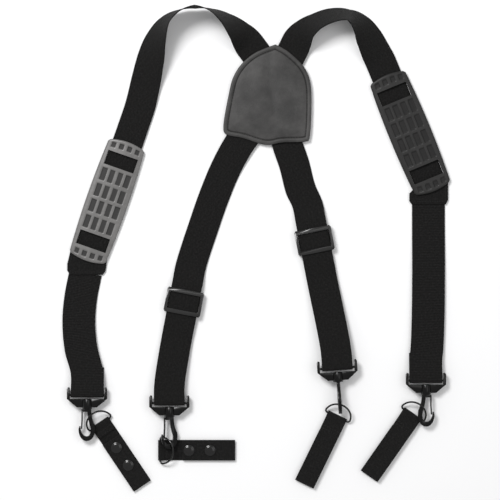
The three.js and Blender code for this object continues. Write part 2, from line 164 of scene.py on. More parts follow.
def moulded(name, level, roughness, coat=0.0, scale=900.0, strength=0.12, specular=0.5):
    """Moulded plastic or rubber with a fine skin and faint handling marks."""
    n = Nodes(name, grey(level), roughness, specular=specular, coat=coat)
    where = n.add("ShaderNodeTexCoord").outputs["Object"]
    skin = n.add("ShaderNodeTexNoise", Scale=scale, Detail=3.0)
    marks = n.add("ShaderNodeTexNoise", Scale=70.0, Detail=7.0, Roughness=0.75)
    n.link(where, skin.inputs["Vector"])
    n.link(where, marks.inputs["Vector"])
    stops = [(0.3, grey(level * 0.75)), (0.55, grey(level)), (0.8, grey(level * 1.35))]
    n.colour(n.ramp(marks.outputs[0], stops))
    n.rough(marks.outputs[0], roughness * 0.75, roughness * 1.3)
    n.bump(skin.outputs[0], strength, 0.0002)
    return n.material


def metal(name, level, roughness):
    """Black-coated metal, a little worn."""
    n = Nodes(name, grey(level), roughness, metallic=0.6, specular=0.6, coat=0.5)
    where = n.add("ShaderNodeTexCoord").outputs["Object"]
    wear = n.add("ShaderNodeTexNoise", Scale=260.0, Detail=8.0, Roughness=0.7)
    n.link(where, wear.inputs["Vector"])
    stops = [(0.35, grey(level)), (0.66, grey(level * 1.4)), (0.8, grey(level * 5))]
    n.colour(n.ramp(wear.outputs[0], stops))
    n.rough(wear.outputs[0], roughness * 0.7, roughness * 1.6)
    n.bump(wear.outputs[0], 0.08, 0.0002)
    return n.material


def hide(name, level):
    """Grained leather with soft mottling."""
    n = Nodes(name, grey(level), 0.5, specular=0.35)
    where = n.add("ShaderNodeTexCoord").outputs["Object"]
    pores = n.add("ShaderNodeTexVoronoi", Scale=750.0)
    mottle = n.add("ShaderNodeTexNoise", Scale=22.0, Detail=9.0, Roughness=0.68)
    for node in (pores, mottle):
        n.link(where, node.inputs["Vector"])
    grain = n.maths("ADD", pores.outputs["Distance"], n.maths("MULTIPLY", mottle.outputs[0], 0.8))
    stops = [(0.34, grey(level * 0.5)), (0.5, grey(level)), (0.68, grey(level * 1.75))]
    n.colour(n.ramp(mottle.outputs[0], stops))
    n.rough(mottle.outputs[0], 0.4, 0.62)
    n.bump(grain, 0.35, 0.0003)
    return n.material


LOOKS = {
    "webbing": woven("webbing_weave", 0.0088, 1.5, 1.1, 0.55),
    "elastic": woven("elastic_ribs", 0.0088, 2.0, 1.3, 0.5),
    "keeper": woven("keeper_weave", 0.0105, 1.2, 1.6, 0.75),
    "leather": hide("patch_leather", 0.034),
    # The left pad is the same rubber as the right one; its much lighter colour is painted highlight, the
    # glare on that pad.
    "left_pad": moulded("left_pad_rubber_painted_highlight", 0.145, 0.34, strength=0.2),
    # Darker than the left pad's top: painted shade in the moulded grid's recesses.
    "left_recess": moulded("left_pad_recess_painted_shade", 0.025, 0.6, strength=0.35, specular=0.35),
    "right_pad": moulded("right_pad_rubber", 0.017, 0.42, strength=0.2, specular=0.3),
    # Darker than the right pad's top: painted shade in the moulded grid's recesses.
    "right_recess": moulded("right_pad_recess_painted_shade", 0.011, 0.5, strength=0.35, specular=0.25),
    "slider": moulded("slider_plastic", 0.011, 0.3, coat=0.25),
    "plastic": moulded("hook_plastic", 0.0016, 0.2, coat=0.12, specular=0.22),
    "wire": metal("ring_wire", 0.005, 0.2),
    "snap": metal("snap_enamel", 0.007, 0.18),
    "thread": moulded("sewing_thread", 0.006, 0.8, scale=2500.0, strength=0.4),
}


# ---------------------------------------------------------------- mesh helpers
def place(x, y, z):
    """A point given in millimetres in the part's own group, in the frame's metres."""
    return (Vector((x, y, z)) + OFFSET) / 1000


def piece(name, verts, faces, look, body, uvs=None, replaces=(), second=None, marks=()):
    """One finished object. uvs is a map per vertex, and marks are the faces of the second material."""
    mesh = bpy.data.meshes.new(name)
    mesh.from_pydata([tuple(v) for v in verts], [], faces)
    mesh.validate()
    mesh.materials.append(LOOKS[look])
    if second:
        mesh.materials.append(LOOKS[second])
        for i in marks:
            mesh.polygons[i].material_index = 1
    if uvs:
        layer = mesh.uv_layers.new(name="strap")
        for loop in mesh.loops:
            layer.data[loop.index].uv = uvs[loop.vertex_index]
    mesh.polygons.foreach_set("use_smooth", [True] * len(mesh.polygons))
    made = bpy.data.objects.new(name, mesh)
    bpy.context.scene.collection.objects.link(made)
    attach(made, body)
    if replaces:
        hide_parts(*replaces)
    return made


def body_of(node):
    """The body that a CAD node rides on."""
    for body, nodes in frame["record"]["behaviour"]["bodies"].items():
        if node in nodes:
            return body
    raise ValueError(node)


def catmull(points, i, f):
    """Centripetal Catmull-Rom, between points i and i + 1."""
    p1, p2 = points[i], points[i + 1]
    p0 = points[i - 1] if i > 0 else p1 * 2 - p2
    p3 = points[i + 2] if i + 2 < len(points) else p2 * 2 - p1
    d1 = (p2 - p1).length ** 0.5 or 1.0
    d0 = (p1 - p0).length ** 0.5 or d1
    d2 = (p3 - p2).length ** 0.5 or d1
    m1 = ((p1 - p0) / d0 - (p2 - p0) / (d0 + d1) + (p2 - p1) / d1) * d1
    m2 = ((p2 - p1) / d1 - (p3 - p1) / (d1 + d2) + (p3 - p2) / d2) * d1
    c2 = (p2 - p1) * 3 - m1 * 2 - m2
    c3 = (p1 - p2) * 2 + m1 + m2
    return p1 + m1 * f + c2 * f * f + c3 * f ** 3


def strap_frames(stations, step):
    """Even samples along a strap: middle, edge direction, normal and distance, in millimetres."""
    points = [Vector(s[:3]) for s in stations]
    sides = []
    for i, station in enumerate(stations):
        near = catmull(points, max(i - 1, 0), 0.999 if i else 0.0)
        far = catmull(points, min(i, len(points) - 2), 0.001 if i < len(points) - 1 else 1.0)
        t = far - near
        side = Vector((t.y, -t.x, 0)).normalized()
        if len(station) > 4:
            lean = math.radians(station[4])
            side = Vector((-math.cos(lean), -math.sin(lean), 0))
        sides.append((side, math.radians(station[3])))
    fine = []
    for i in range(len(points) - 1):
        parts = max(3, int((points[i + 1] - points[i]).length / step))
        for k in range(parts):
            fine.append((i, k / parts))
    fine.append((len(points) - 2, 1.0))
    middles = [catmull(points, i, f) for i, f in fine]
    frames, travelled = [], 0.0
    for k, (i, f) in enumerate(fine):
        tangent = (middles[min(k + 1, len(fine) - 1)] - middles[max(k - 1, 0)]).normalized()
        side = sides[i][0].lerp(sides[i + 1][0], f).normalized()
        roll = sides[i][1] * (1 - f) + sides[i + 1][1] * f
        edge = side * math.cos(roll) + Vector((0, 0, math.sin(roll)))
        normal = edge.cross(tangent).normalized()
        if k:
            travelled += (middles[k] - middles[k - 1]).length
        frames.append((middles[k], edge, normal, travelled))
    return frames


GROOVE_DEPTH, GROOVE_IN, GROOVE_WIDTH = 0.14, 2.6, 0.55
SECTION_PARTS = 26
RIB_PITCH = 2.0


def tape_section(width, thickness):
    """Cross-section of woven tape: rounded edges and a groove beside each selvedge."""
    half, r = width / 2, thickness / 2
    top = []
    for i in range(SECTION_PARTS + 1):
        x = -half + r + (width - 2 * r) * i / SECTION_PARTS
        groove = GROOVE_DEPTH * math.exp(-(((abs(x) - half + GROOVE_IN) / GROOVE_WIDTH) ** 2))
        top.append((x, r - groove))
    rounded = [(half - r + r * math.sin(a), r * math.cos(a)) for a in (0.5, 1.0, 1.57, 2.1, 2.6)]
    bottom = [(x, -y) for x, y in reversed(top)]
    return top + rounded + bottom + [(-x, y) for x, y in reversed(rounded)]


def tape(name, frames, width, thickness, look, body, replaces, ribs=0.0):
    """Sweeps the tape section along the frames. ribs is the depth of cross ribs, in millimetres."""
    section = tape_section(width, thickness)
    verts, uvs, faces = [], [], []
    for middle, edge, normal, s in frames:
        thin = 1 - ribs * (0.5 + 0.5 * math.cos(2 * math.pi * s / RIB_PITCH))
        for x, y in section:
            p = middle + edge * x + normal * y * thin
            verts.append((p + OFFSET) / 1000)
            uvs.append((s, x))
    count = len(section)
    for k in range(len(frames) - 1):
        for c in range(count):
            a, b = k * count + c, k * count + (c + 1) % count
            faces.append((a, b, b + count, a + count))
    faces.append(tuple(reversed(range(count))))
    faces.append(tuple((len(frames) - 1) * count + c for c in range(count)))
    return piece(name, verts, faces, look, body, uvs, replaces)


def stitches(name, runs, body, look="thread"):
    """Short raised stitches. Each run is a list of (point, direction, normal) in millimetres."""
    length, radius, sides = 2.3, 0.26, 6
    verts, faces = [], []
    for centre, direction, normal in runs:
        d = direction.normalized()
        across = normal.cross(d).normalized()
        first = len(verts)
        rings = [(-0.5, 0.45), (-0.32, 1.0), (0.32, 1.0), (0.5, 0.45)]
        for place_on, size in rings:
            middle = centre + d * length * place_on - normal * (0.22 if size < 1 else 0.02)
            for k in range(sides):
                a = 2 * math.pi * k / sides
                p = middle + (across * math.cos(a) + normal * math.sin(a)) * radius * size
                verts.append((p + OFFSET) / 1000)
        for r in range(len(rings) - 1):
            for k in range(sides):
                a, b = first + r * sides + k, first + r * sides + (k + 1) % sides
                faces.append((a, b, b + sides, a + sides))
        faces.append(tuple(first + k for k in reversed(range(sides))))
        faces.append(tuple(first + (len(rings) - 1) * sides + k for k in range(sides)))
    return piece(name, verts, faces, look, body)


def seam(corners, height, pitch=3.3, closed=True):
    """Stitches along a flat outline at a height."""
    up = Vector((0, 0, 1))
    points = [Vector((x, y, height)) for x, y in corners]
    ends = points[1:] + points[:1] if closed else points[1:]
    runs = []
    for a, b in zip(points, ends):
        count = max(1, round((b - a).length / pitch))
        for k in range(count):
            runs.append((a.lerp(b, (k + 0.5) / count), b - a, up))
    return runs


def rounded(node, look, slot, width, segments=3):
    """A copy of a hard CAD node with its edges eased, standing for that node."""
    mesh = frame["nodes"][node].data.copy()
    made = bpy.data.objects.new(f"{node}_finished", mesh)
    bpy.context.scene.collection.objects.link(made)
    weld = made.modifiers.new("weld", "WELD")
    weld.merge_threshold = 0.00001
    ease = made.modifiers.new("ease", "BEVEL")
    ease.width = width / 1000
    ease.segments = segments
    ease.limit_method = "ANGLE"
    ease.angle_limit = math.radians(35)
    ease.use_clamp_overlap = True
    ease.harden_normals = True
    shown = made.evaluated_get(bpy.context.evaluated_depsgraph_get())
    made.data = bpy.data.meshes.new_from_object(shown)
    made.modifiers.clear()
    made.data.materials.clear()
    made.data.materials.append(LOOKS[look])
    made.data.polygons.foreach_set("use_smooth", [True] * len(made.data.polygons))
    made.data.set_sharp_from_angle(angle=math.radians(50))
    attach(made, body_of(node))
    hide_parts(node)
    return made


# ---------------------------------------------------------------- strap routes
LEFT_PAD = (-186.5, 58.1, -19.3)
RIGHT_PAD = (191.7, 143.3, 22.4)
LEFT_SLIDER = (-90.6, -67.3, -11)
RIGHT_SLIDER = (72.3, 9.4, 11)
HOOKS = {
    "front_left": (-211, -186.3, 7.9, 0),
    "rear_left": (-108.5, -196.3, 8.2, 0),
    "rear_right": (100.6, -152.4, 11.4, 4),
    "front_right": (211, -168.3, 7.9, 0),
}


def along_pad(pad, u, z):
    lean = math.radians(pad[2])
    return (pad[0] - u * math.sin(lean), pad[1] + u * math.cos(lean), z, 0)


def near_hook(hook, dy, z):
    lean = math.radians(hook[3])
    return (hook[0] - (dy + BAR_Y) * math.sin(lean), hook[1] + (dy + BAR_Y) * math.cos(lean), z, 0, hook[3])


def turn_round_bar(hook):
    bend = TURN_R * math.sqrt(0.5)
    return [
        near_hook(hook, 0, hook[2] + TURN_R),
        near_hook(hook, -bend, hook[2] + bend),
        near_hook(hook, -TURN_R, hook[2]),
        near_hook(hook, -bend, hook[2] - bend),
        near_hook(hook, 0, hook[2] - TURN_R),
    ]


def along_slider(slider, s, z):
    lean = math.radians(slider[2])
    return (slider[0] + s * math.sin(lean), slider[1] - s * math.cos(lean), z, 0, slider[2])


def rear_run(slider, hook):
    outward = [(-46, 2.2), (-24, SLIDER_Z), (0, SLIDER_Z), (24, SLIDER_Z), (48, 4.8)]
    low = max(hook[2] - TURN_R - 2.2, 1.6)
    bend = LOOP_R * math.sqrt(0.5)
    loop = [
        (20, RETURN_Z), (LOOP_END, LOOP_MID_Z - LOOP_R), (LOOP_END - bend, LOOP_MID_Z - bend),
        (LOOP_END - LOOP_R, LOOP_MID_Z), (LOOP_END - bend, LOOP_MID_Z + bend),
        (LOOP_END, LOOP_MID_Z + LOOP_R), (10, LOOP_MID_Z + LOOP_R),
        (22, RETURN_Z + 1.7), (32, RETURN_Z + 1.6),
    ]
    return (
        [along_slider(slider, s, z) for s, z in outward]
        + [near_hook(hook, 22, hook[2] + TURN_R - 1.5)]
        + turn_round_bar(hook)
        + [near_hook(hook, 22, low), along_slider(slider, 50, RETURN_Z + 0.6)]
        + [along_slider(slider, s, z) for s, z in loop]
    )


def through_pad(pad, start):
    low = 0.9
    rows = [(start, low), (-70, low), (-55, SHOULDER_Z), (0, SHOULDER_Z), (60, SHOULDER_Z), (98, SHOULDER_Z)]
    return [along_pad(pad, u, z) for u, z in rows]


LEFT_ROUTE = through_pad(LEFT_PAD, -86) + [
    (-145, 178, 2.2, 0), (-138, 208, 3.5, 8), (-131, 238, 11, 24), (-124.5, 261, 17, 44), (-113, 282, 23, 66),
    (-96, 293.5, 25, 80), (-76, 298, 25.5, 88), (-56, 294.5, 24, 79), (-38, 284.5, 20, 62),
    (-21, 269, 12.5, 36), (-9, 254, 2.9, 0), (2, 239, 2.5, 0), (13, 222, SHOULDER_Z, 0),
    (24, 191, SHOULDER_Z, 0), (33.5, 156, SHOULDER_Z, 0), (38.5, 130, 2.7, 0), (47.3, 103.8, 1.2, 0),
    (55, 74, 1.2, 0),
] + rear_run(RIGHT_SLIDER, HOOKS["rear_right"])
RIGHT_ROUTE = through_pad(RIGHT_PAD, -80) + [
    (149.1, 244, 4.2, -8), (139.5, 263, 9, -24), (128.4, 279.5, 16, -46), (114, 288.6, 20, -62),
    (93.8, 288.5, 18.5, -56), (74, 281, 17, -51), (60, 271.5, 13, -38), (51.5, 260, 6.6, -14),
    (47.5, 251, 4.4, -2),
    (42, 240, CROSS_Z, 0), (30.6, 216.3, CROSS_Z, 0), (11.9, 181.3, CROSS_Z, 0), (-9, 148, CROSS_Z, 0),
    (-23.5, 127, 3.9, 0), (-39.1, 97.9, 1.4, 0), (-53.5, 62.9, 1.2, 0), (-65, 30, 1.3, 0),
] + rear_run(LEFT_SLIDER, HOOKS["rear_left"])


def elastic_route(hook, above):
    return above + [near_hook(hook, 26, hook[2] - 1)] + turn_round_bar(hook) + [
        near_hook(hook, 14, 3.2), near_hook(hook, ELASTIC_TAIL, 1.5),
    ]


LEFT_ELASTIC = elastic_route(HOOKS["front_left"], [
    (-213.5, -31, 0.9, 0), (-219.5, -62, 1.6, 0), (-221.8, -92, 3.2, 0), (-219, -125, 4.6, 0),
])
RIGHT_ELASTIC = elastic_route(HOOKS["front_right"], [
    (214.8, 60, 0.9, 0), (214.8, 20, 1.5, 0), (214.8, -30, 3, 0), (214, -90, 4.2, 0), (212.6, -125, 4.8, 0),
])
VISUAL_T = STRAP_T - 0.1
STRAP_STEP = 1.6
ELASTIC_STEP = 0.5
for side, route, elastic in (("left", LEFT_ROUTE, LEFT_ELASTIC), ("right", RIGHT_ROUTE, RIGHT_ELASTIC)):
    tape(f"{side}_strap_web", strap_frames(route, STRAP_STEP), WEBBING, VISUAL_T, "webbing", "root",
         [f"{side}_shoulder_strap"])
    tape(f"{side}_elastic_web", strap_frames(elastic, ELASTIC_STEP), ELASTIC, VISUAL_T, "elastic", "root",
         [f"{side}_front_elastic"], ribs=0.16)


# ---------------------------------------------------------------- flat pieces and their outlines
FINE_STEP = 0.3
RIM_EASE = 0.7


def slab(name, outline, low, high, look, body, replaces, relief=None, rings=14, uvs=True, fine=0):
    """A flat piece with a rounded rim, filled by rings drawn in towards its middle."""
    count = len(outline)
    centre = sum((Vector(p) for p in outline), Vector((0, 0))) / count
    reach = min((Vector(p) - centre).length for p in outline)
    edge = min(RIM_EASE, (high - low) / 2)
    start = edge + fine * FINE_STEP
    insets = [0.0, edge * 0.3, edge] + [edge + FINE_STEP * k for k in range(1, fine + 1)]
    insets += [start + (reach - start) * k / rings for k in range(1, rings)]
    drop = [edge, edge * 0.3, 0.0]
    verts, uv = [], []

    def ring(inset, z):
        for p in outline:
            q = Vector(p)
            q = q.lerp(centre, min(inset / reach, 0.999))
            lift = relief(q.x, q.y, inset) if relief and z > (low + high) / 2 else 0
            verts.append(place(q.x, q.y, z + lift))
            uv.append((q.y, q.x))

    ring(0.0, low + edge)
    for k, inset in enumerate(insets):
        ring(inset, high - (drop[k] if k < 3 else 0))
    faces = []
    levels = len(insets)
    for k in range(levels):
        for c in range(count):
            a, b = k * count + c, k * count + (c + 1) % count
            faces.append((a, b, b + count, a + count))
    top = len(verts)
    verts.append(place(centre.x, centre.y, high + (relief(centre.x, centre.y, reach) if relief else 0)))
    uv.append((centre.y, centre.x))
    for c in range(count):
        faces.append((levels * count + c, levels * count + (c + 1) % count, top))
    below = len(verts)
    ring(edge, low)
    for c in range(count):
        faces.append((below + c, below + (c + 1) % count, (c + 1) % count, c))
    last = len(verts)
    verts.append(place(centre.x, centre.y, low))
    uv.append((centre.y, centre.x))
    for c in range(count):
        faces.append((below + (c + 1) % count, below + c, last))
    return piece(name, verts, faces, look, body, uv if uvs else None, replaces)


def dense(outline, pitch):
    """Adds points along an outline so that it can be shaped."""
    out = []
    for a, b in zip(outline, outline[1:] + outline[:1]):
        a, b = Vector(a), Vector(b)
        count = max(1, round((b - a).length / pitch))
        out += [tuple(a.lerp(b, k / count)) for k in range(count)]
    return out


def inset(outline, by):
    """Moves an anticlockwise outline inwards by this much, square to its edges."""
    out = []
    for k, p in enumerate(outline):
        before, after = Vector(outline[k - 1]), Vector(outline[(k + 1) % len(outline)])
        along = (after - before).normalized()
        out.append(tuple(Vector(p) + Vector((-along.y, along.x)) * by))
    return out


def to_edge(outline, x, y):
    """Distance from a place to the nearest edge of an outline."""
    p, nearest = Vector((x, y)), 1e9
    for a, b in zip(outline, outline[1:] + outline[:1]):
        a, b = Vector(a), Vector(b)
        edge = b - a
        t = min(max((p - a).dot(edge) / max(edge.length_squared, 1e-9), 0), 1)
        nearest = min(nearest, (p - a - edge * t).length)
    return nearest


def anticlockwise(outline):
    """The outline, turned round if it runs clockwise."""
    area = sum(a[0] * b[1] - b[0] * a[1] for a, b in zip(outline, outline[1:] + outline[:1]))
    return outline if area > 0 else outline[::-1]


# ---------------------------------------------------------------- sewn join tabs
TAB_LOW, TAB_TOP = 2.0, 3.2
TAB_PITCH, TAB_SEAM_PITCH, TAB_SEAM_INSET = 2, 6, 3.5
TABS = {
    "left": [(-230.8, 2.7), (-236.3, -20), (-236.3, -28), (-233, -33.5), (-192, -33.5), (-188.5, -29),
             (-186.4, -12.9)],
    "right": [(195, 72.3), (190.8, 68), (190.8, 58.5), (193.8, 54.5), (236.6, 54.5), (239.2, 60),
              (239.2, 90.2)],
}
for side, outline in TABS.items():
    outline = anticlockwise(outline)
    slab(f"{side}_join_sewn", dense(outline, TAB_PITCH), TAB_LOW, TAB_TOP, "webbing", "root",
         [f"{side}_join_tab"])
    sewn_line = inset(dense(outline, TAB_SEAM_PITCH), TAB_SEAM_INSET)
    stitches(f"{side}_join_stitches", seam(sewn_line, TAB_TOP), "root")


# ---------------------------------------------------------------- leather patch
def spline(points, samples):
    """Catmull-Rom through flat points, in even steps."""
    out = []
    for k in range(samples):
        t = k / samples * (len(points) - 1)
        i = int(t)
        f = t - i
        p0 = Vector(points[max(i - 1, 0)])
        p1, p2 = Vector(points[i]), Vector(points[i + 1])
        p3 = Vector(points[min(i + 2, len(points) - 1)])
        v0, v1 = (p2 - p0) / 2, (p3 - p1) / 2
        out.append(tuple((p1 - p2) * 2 * f ** 3 + (v0 + v1) * f ** 3
                         + (p2 - p1) * 3 * f * f - (v0 * 2 + v1) * f * f + v0 * f + p1))
    return out


PATCH_SAMPLES = 144
PATCH = anticlockwise(spline([
    (23.6, 253.8), (-1, 243.8), (-17.8, 230.3), (-29, 213), (-35, 190), (-41.3, 153), (-37.3, 141.6),
    (-17.8, 137.1), (11.3, 128.8), (32.5, 131.5), (60, 132.8), (66.6, 140), (68.6, 185), (66, 211),
    (57, 228.5), (39.3, 244.9), (23.6, 253.8),
], PATCH_SAMPLES))
PATCH_LOW, PATCH_HIGH = 5.35, 7.0
BACK_LOW, BACK_HIGH = 0.1, 1.5
SEAM_INSET, SEAM_DEPTH, SEAM_WIDTH = 5.6, 0.75, 0.7
RIM_INSET, RIM_HEIGHT, RIM_WIDTH = 2.6, 0.35, 1.5
SWELL, SWELL_REACH = 1.5, 13
CREASE_DEPTH, CREASE_WIDTH, CREASE_X, CREASE_Y, CREASE_SLANT = 0.7, 6.5, 18, 190, 0.12
SOFT_HEIGHT, SOFT_SCALE = 0.35, 17
STITCH_SUNK, STITCH_PITCH = 0.45, 2.9
FAR_IN = 20.0


def patch_relief(x, y, inward):
    """Rim bead, sunk seam, a soft swell over the crossing straps and a shallow crease down the middle."""
    depth = to_edge(PATCH, x, y) if inward < FAR_IN else inward
    rim = RIM_HEIGHT * math.exp(-(((depth - RIM_INSET) / RIM_WIDTH) ** 2))
    sunk = -SEAM_DEPTH * math.exp(-(((depth - SEAM_INSET) / SEAM_WIDTH) ** 2))
    swell = SWELL * (1 - math.exp(-max(depth - SEAM_INSET, 0) / SWELL_REACH))
    aside = (x - CREASE_X + (y - CREASE_Y) * CREASE_SLANT) / CREASE_WIDTH
    crease = -CREASE_DEPTH * math.exp(-(aside ** 2)) * min(max(depth - 9, 0) / 12, 1)
    soft = SOFT_HEIGHT * noise.noise(Vector((x, y, 0)) / SOFT_SCALE) * min(max(depth - 7, 0) / 8, 1)
    return rim + sunk + swell + crease + soft


front = slab("patch_leather_front", PATCH, PATCH_LOW, PATCH_HIGH, "leather", "root",
             ["patch_front"], relief=patch_relief, rings=24, uvs=False, fine=32)
back = slab("patch_leather_back", PATCH, BACK_LOW, BACK_HIGH, "leather", "root",
            ["patch_back"], uvs=False)
patch_seam = seam(inset(PATCH, SEAM_INSET), PATCH_HIGH - STITCH_SUNK, pitch=STITCH_PITCH)
stitches("patch_stitches", patch_seam, "root")


# ---------------------------------------------------------------- shoulder pads
PAD_TOP, PAD_UNDER, PAD_FLOOR = 7.2, 3.6, 0.2
PAD_CROWN, PAD_PITCH = 1.7, 0.75
END_CELL_Y, END_CELL_HALF = 68.5, 2.8
WINDOW_NEAR, WINDOW_FAR, WINDOW_HALF = 43.5, 61.5, 19.6
PAD_LENGTH, PAD_ARCH, PAD_END, PAD_MIDDLE = 75.0, 3.5, 23.5, 26.0
CELL_ROWS, COLUMN_PITCH, CELL_HALF, CELL_LONG, RECESS = 4, 10.4, 3.2, 8.0, 1.1


def smooth(edge, x):
    """0 to 1 as x goes from below zero to above it, over the width edge."""
    t = min(max(x / edge + 0.5, 0), 1)
    return t * t * (3 - 2 * t)


def recess(x, y):
    """How deep the moulded grid is at a place on the pad, from 0 to 1."""
    deepest = 0.0
    pitch = 2 * (WINDOW_NEAR - 2) / CELL_ROWS
    cells = [((row - (CELL_ROWS - 1) / 2) * pitch, CELL_HALF, CELL_LONG) for row in range(CELL_ROWS)]
    cells += [(end * END_CELL_Y, END_CELL_HALF, END_CELL_HALF) for end in (-1, 1)]
    for column in range(4):
        cx = (column - 1.5) * COLUMN_PITCH
        for cy, wide, long in cells:
            inside = min(wide - abs(x - cx), long - abs(y - cy))
            deepest = max(deepest, smooth(0.9, inside))
    return deepest


def axis_lines(fixed, pitch):
    """Grid lines that keep the fixed places and are about pitch apart between them."""
    lines = []
    for a, b in zip(fixed, fixed[1:]):
        count = max(1, round((b - a) / pitch))
        lines += [a + (b - a) * k / count for k in range(count)]
    return lines + [fixed[-1]]


def shoulder_pad(side, pad):
    """The moulded pad: a crowned grid of cells with a window near each end."""
    kept_lines = [-PAD_LENGTH, -WINDOW_FAR, -WINDOW_NEAR, WINDOW_NEAR, WINDOW_FAR, PAD_LENGTH]
    rows = axis_lines(kept_lines, PAD_PITCH)
    inner = axis_lines([-WINDOW_HALF, WINDOW_HALF], PAD_PITCH)
    verts, faces, marks = [], [], []
    lean = math.radians(pad[2])

    def put(x, y, z):
        verts.append(place(pad[0] + x * math.cos(lean) - y * math.sin(lean),
                           pad[1] + x * math.sin(lean) + y * math.cos(lean), z))

    def spots(y):
        half = PAD_END + (PAD_MIDDLE - PAD_END) * (1 - (y / PAD_LENGTH) ** 2)
        half -= 2.0 * max(0, abs(y) - PAD_LENGTH + 2.5) / 2.5
        outer = [half - (half - WINDOW_HALF) * t for t in (0, 0.06, 0.16, 0.45, 0.75)]
        return half, [-x for x in outer] + inner + outer[::-1]

    width = len(spots(0)[1])
    levels = []
    for top in (True, False):
        first = len(verts)
        for y in rows:
            half, xs = spots(y)
            for x in xs:
                past_window = max(0, abs(y) - WINDOW_FAR)
                bow = PAD_ARCH * (1 - (x / half) ** 2) * past_window / (PAD_LENGTH - WINDOW_FAR)
                end = PAD_LENGTH - abs(y)
                from_side = min(half - abs(x), end)
                ease = 0.9 * (1 - min(from_side / 1.6, 1)) ** 2
                crown = PAD_CROWN * (1 - (x / half) ** 2)
                if top:
                    z = PAD_TOP - PAD_CROWN + crown - ease - RECESS * recess(x, y)
                else:
                    wall = smooth(0.8, abs(x) - WINDOW_HALF - 0.4)
                    z = PAD_UNDER + (PAD_FLOOR - PAD_UNDER) * wall * (1 if abs(y) < WINDOW_FAR + 2 else 0)
                put(x, y + math.copysign(bow, y), z)
        levels.append(first)
    open_cells = set()
    for j in range(len(rows) - 1):
        mid_y = (rows[j] + rows[j + 1]) / 2
        for i in range(width - 1):
            xs = spots(mid_y)[1]
            mid_x = (xs[i] + xs[i + 1]) / 2
            if WINDOW_NEAR < abs(mid_y) < WINDOW_FAR and abs(mid_x) < WINDOW_HALF:
                open_cells.add((i, j))
    used = {}
    for j in range(len(rows) - 1):
        for i in range(width - 1):
            if (i, j) in open_cells:
                continue
            quad = [j * width + i, j * width + i + 1, (j + 1) * width + i + 1, (j + 1) * width + i]
            xs = spots(rows[j])[1]
            # Faces deep in the grid take the darker recess material: painted shade in the recesses.
            if recess((xs[i] + xs[i + 1]) / 2, (rows[j] + rows[j + 1]) / 2) > 0.5:
                marks.append(len(faces))
            faces.append(tuple(levels[0] + v for v in quad))
            faces.append(tuple(levels[1] + v for v in reversed(quad)))
            for a, b in zip(quad, quad[1:] + quad[:1]):
                used[(a, b)] = used.get((a, b), 0) + 1
    for (a, b) in used:
        if (b, a) not in used:
            faces.append((levels[0] + b, levels[0] + a, levels[1] + a, levels[1] + b))
    made = piece(f"{side}_pad_moulding", verts, faces, f"{side}_pad", f"{side}_pad",
                 replaces=[f"{side}_shoulder_pad"], second=f"{side}_recess", marks=marks)
    made.data.set_sharp_from_angle(angle=math.radians(60))


shoulder_pad("left", LEFT_PAD)
shoulder_pad("right", RIGHT_PAD)


# ---------------------------------------------------------------- hard hardware
for side in ("left", "right"):
    rounded(f"{side}_rear_slider", "slider", "plastic", 0.7)
for corner in CORNERS:
    rounded(f"{corner}_hook_frame", "plastic", "plastic", 0.6)
    rounded(f"{corner}_hook", "plastic", "plastic", 0.6)
    rounded(f"{corner}_gate", "plastic", "plastic", 0.3, 2)
    rounded(f"{corner}_d_ring", "wire", "ring_metal", 0.15, 2)

# ---------------------------------------------------------------- belt keepers
BARS = {
    "front_left": ((-194.6, -219.6), -56.1, True, 24.0),
    "rear_left": ((-120.0, -252.5), 0.0, True, 28.0),
    "rear_right": ((100.5, -210.8), -116.0, False, 24.0),
    "front_right": ((194.0, -208.3), -125.0, False, 24.0),
}
UP = {"base": 0.6, "tail": 2.15, "roll": 1.5, "flap": 3.9, "cap": (4.8, 7.0)}
DOWN = {"base": 6.1, "tail": 4.7, "roll": 5.5, "flap": 3.1, "cap": (2.2, 0.0)}
CAP_R = 7.0
SEWN_HALF = 10.5


def keeper_frames(profile, bar, angle):
    """Frames of a tape whose path is drawn in the keeper's own length and height."""
    turn = math.radians(angle)
    along, side = Vector((math.cos(turn), math.sin(turn), 0)), Vector((-math.sin(turn), math.cos(turn), 0))
    origin = Vector((bar[0], bar[1], 0))
    points = []
    for a, b in zip(profile, profile[1:]):
        count = max(1, int(math.dist(a, b) / 1.2))
        points += [(a[0] + (b[0] - a[0]) * k / count, a[1] + (b[1] - a[1]) * k / count) for k in range(count)]
    points.append(profile[-1])
    frames, travelled = [], 0.0
    for k, (x, z) in enumerate(points):
        a, b = points[max(k - 1, 0)], points[min(k + 1, len(points) - 1)]
        tangent = (along * (b[0] - a[0]) + Vector((0, 0, b[1] - a[1]))).normalized()
        if k:
            travelled += math.dist(points[k - 1], points[k])
        middle = origin + along * x + Vector((0, 0, z))
        frames.append((middle, side, side.cross(tangent).normalized(), travelled))
    return frames


def dome(name, bar, angle, x, foot, crown, body, replaces):
    """Stud cap: a shallow dome with a rolled rim."""
    turn = math.radians(angle)
    cx, cy = bar[0] + x * math.cos(turn), bar[1] + x * math.sin(turn)
    profile = [(CAP_R - 0.3, 0.0), (CAP_R, 0.1), (CAP_R, 0.26), (CAP_R - 0.25, 0.4), (CAP_R - 0.8, 0.44),
               (CAP_R - 1.1, 0.5), (5.2, 0.74), (4.0, 0.87), (2.6, 0.95), (1.2, 0.99)]
    sides = 48
    verts, faces = [], []
    for r, h in profile:
        for k in range(sides):
            a = 2 * math.pi * k / sides
            verts.append(place(cx + r * math.cos(a), cy + r * math.sin(a), foot + h * (crown - foot)))
    for j in range(len(profile) - 1):
        for k in range(sides):
            a, b = j * sides + k, j * sides + (k + 1) % sides
            faces.append((a, b, b + sides, a + sides))
    for level, height in ((0, foot), (len(profile) - 1, crown)):
        middle = len(verts)
        verts.append(place(cx, cy, height))
        for k in range(sides):
            ends = (level * sides + k, level * sides + (k + 1) % sides)
            faces.append((*(ends if level else ends[::-1]), middle))
    if crown < foot:
        faces = [face[::-1] for face in faces]
    return piece(name, verts, faces, "snap", body, replaces=replaces)


